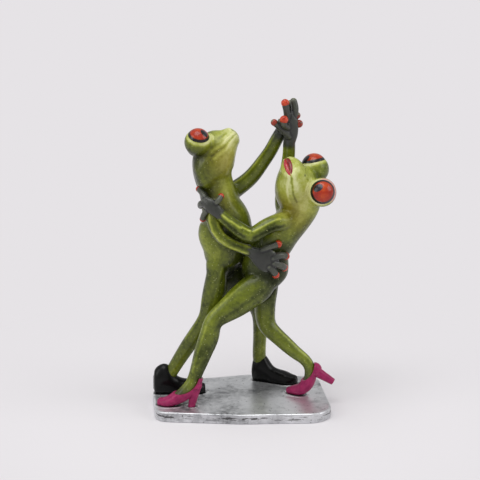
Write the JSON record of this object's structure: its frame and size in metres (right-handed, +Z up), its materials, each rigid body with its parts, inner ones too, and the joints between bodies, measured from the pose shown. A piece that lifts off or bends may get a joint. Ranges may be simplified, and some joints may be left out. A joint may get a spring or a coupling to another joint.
{
  "type": "dancing frog couple figurine",
  "caption": "Cast resin ornament: a pair of slim red-eyed frogs in a tango hold, in court shoes and dress shoes, on a silver plate with a flat underside.",
  "frame": {"origin": "middle of the plate's flat underside", "axes": "+Z up, +X along the plate to the right as seen from the front, +Y to the back"},
  "size_m": [0.0997, 0.0608, 0.1684],
  "materials": {
    "silver_plate": "cast resin, silver paint with a dark wash",
    "leader_skin": "cast resin, olive green paint under clear gloss lacquer",
    "follower_skin": "cast resin, yellow green paint under clear gloss lacquer",
    "grey_hands": "dark grey paint with orange finger pads, gloss lacquer",
    "red_eyes": "orange red paint with a dark pupil, thick gloss lacquer",
    "black_shoes": "black paint, satin",
    "pink_pumps": "magenta paint, satin",
    "steel_pins": "plain steel wire"
  },
  "bodies": {
    "root": {"base_plate": "silver_plate", "follower_head": "follower_skin", "follower_left_arm": "follower_skin", "follower_left_eye": "red_eyes", "follower_left_hand": "grey_hands", "follower_left_leg": "follower_skin", "follower_left_pump": "pink_pumps", "follower_right_arm": "follower_skin", "follower_right_eye": "red_eyes", "follower_right_hand": "grey_hands", "follower_right_leg": "follower_skin", "follower_right_pump": "pink_pumps", "follower_torso": "follower_skin", "foot_pins": "steel_pins", "hip_pins": "steel_pins", "leader_head": "leader_skin", "leader_left_arm": "leader_skin", "leader_left_eye": "red_eyes", "leader_left_hand": "grey_hands", "leader_left_leg": "leader_skin", "leader_left_shoe": "black_shoes", "leader_right_arm": "leader_skin", "leader_right_eye": "red_eyes", "leader_right_hand": "grey_hands", "leader_right_leg": "leader_skin", "leader_right_shoe": "black_shoes", "leader_torso": "leader_skin", "neck_pins": "steel_pins", "shoulder_pins": "steel_pins"}
  },
  "joints": []
}
